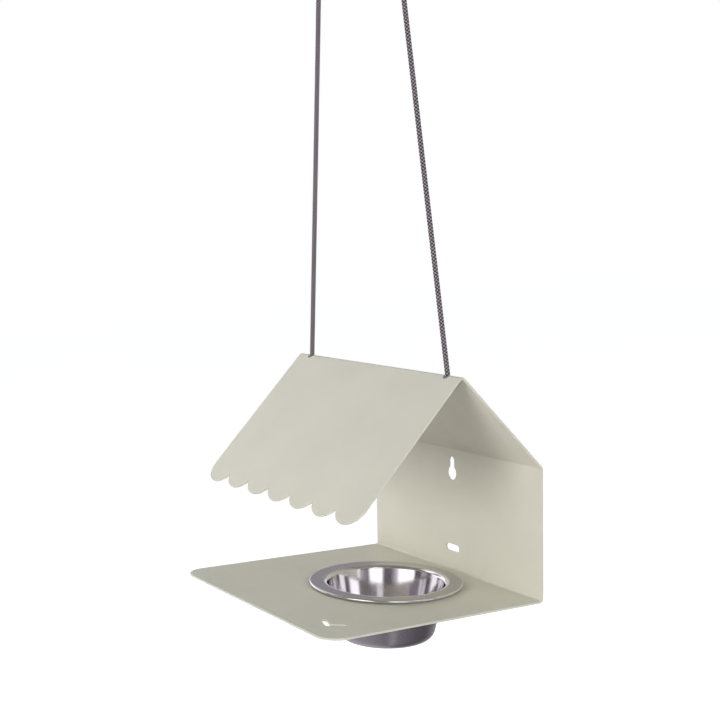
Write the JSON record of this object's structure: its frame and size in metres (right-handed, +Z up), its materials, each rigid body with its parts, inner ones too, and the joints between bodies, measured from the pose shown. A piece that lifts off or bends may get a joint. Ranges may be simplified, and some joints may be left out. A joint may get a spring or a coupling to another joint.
{
  "type": "hanging bird feeder",
  "caption": "House-shaped hanging bird feeder folded from one steel sheet, with a scalloped roof edge, a lift-out food bowl and a cord loop through the ridge.",
  "frame": {"origin": "inside top of the cord loop, where a branch or hook carries it", "axes": "+Z up, +X along the roof ridge to the right seen from the open front, -Y out of the open front"},
  "size_m": [0.2, 0.1806, 0.5133],
  "materials": {
    "powder_coated_sheet": "satin powder coat",
    "stainless_bowl": "satin inside, brushed under the floor, polished lip",
    "braided_cord": "fine braid"
  },
  "bodies": {
    "hanger": {"cord": "braided_cord"},
    "house": {"house_sheet": "powder_coated_sheet", "left_knot": "braided_cord", "right_knot": "braided_cord"},
    "bowl": {"bowl": "stainless_bowl"}
  },
  "joints": [
    {"name": "house_swing", "type": "hinge", "parent": "hanger", "child": "house", "pos_m": [0, 0, -0.3095], "axis": [1, 0, 0], "range_deg": [-15, 15]},
    {"name": "bowl_lift", "type": "slide", "parent": "house", "child": "bowl", "axis": [0, 0.0762, 0.9971], "range_m": [0, 0.045]}
  ]
}
